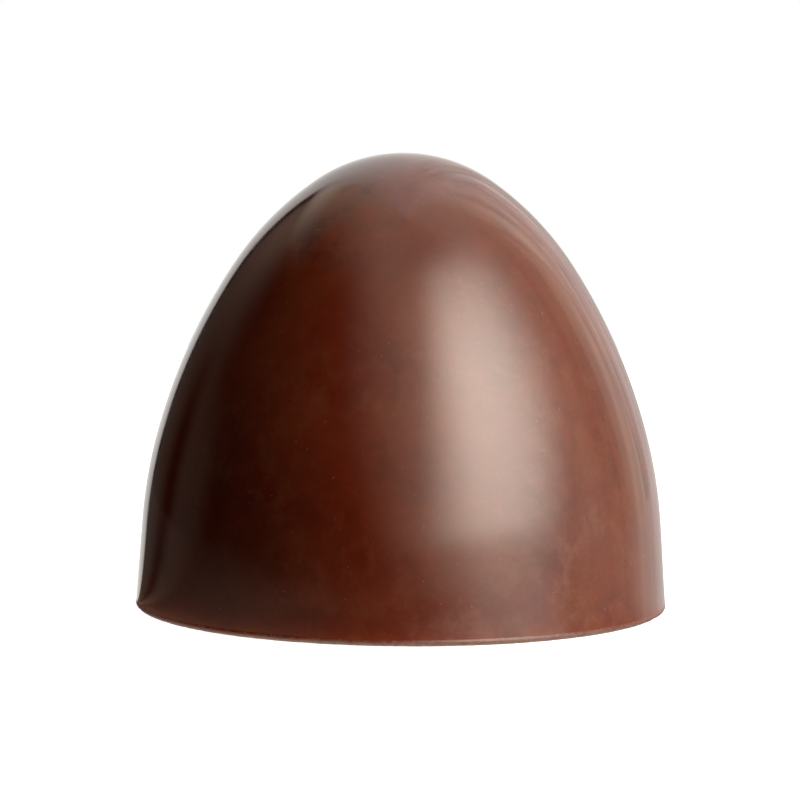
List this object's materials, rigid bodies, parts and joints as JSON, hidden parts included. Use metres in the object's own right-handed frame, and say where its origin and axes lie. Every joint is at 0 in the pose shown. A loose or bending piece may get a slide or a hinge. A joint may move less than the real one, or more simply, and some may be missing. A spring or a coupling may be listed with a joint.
{
  "type": "chocolate praline",
  "caption": "Moulded chocolate praline, a tall round dome with a glossy shell and a flat scraped underside with a small rounded edge.",
  "frame": {"origin": "centre of the flat underside, the point that rests on the surface", "axes": "+Z along the dome's axis, up to its top; the dome is the same all round, and -Y is the side that the picture shows"},
  "size_m": [0.028, 0.028, 0.024],
  "materials": {
    "chocolate": "glossy brown chocolate on the moulded dome, with faint cloudy mottling; matt and paler where it was scraped, on the underside and round its edge"
  },
  "bodies": {
    "root": {"praline": "chocolate"}
  },
  "joints": []
}
